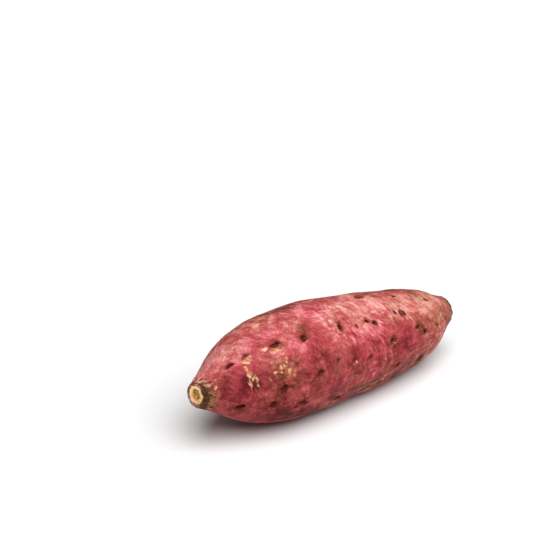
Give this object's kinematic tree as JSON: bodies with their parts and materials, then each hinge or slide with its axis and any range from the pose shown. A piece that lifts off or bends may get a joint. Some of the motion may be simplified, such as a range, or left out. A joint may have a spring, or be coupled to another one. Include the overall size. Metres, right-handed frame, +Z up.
{
  "type": "sweet potato",
  "caption": "Whole raw sweet potato: a long tapering storage root with rosy skin and slit eyes, trimmed at the stem end, lying on its belly.",
  "frame": {"origin": "middle of the root's bounding box, on the surface that its flat belly rests on", "axes": "+X along the root from the stem end to the tail, +Z up, -Y the side that faces the viewer in the picture"},
  "size_m": [0.1742, 0.0582, 0.0553],
  "materials": {
    "skin": "dull waxy rose-red skin, mottled darker, with brown corky slits, tan scuffs, a cream cut stem face and a brown snapped tail"
  },
  "bodies": {
    "root": {"sweet_potato": "skin"}
  },
  "joints": []
}
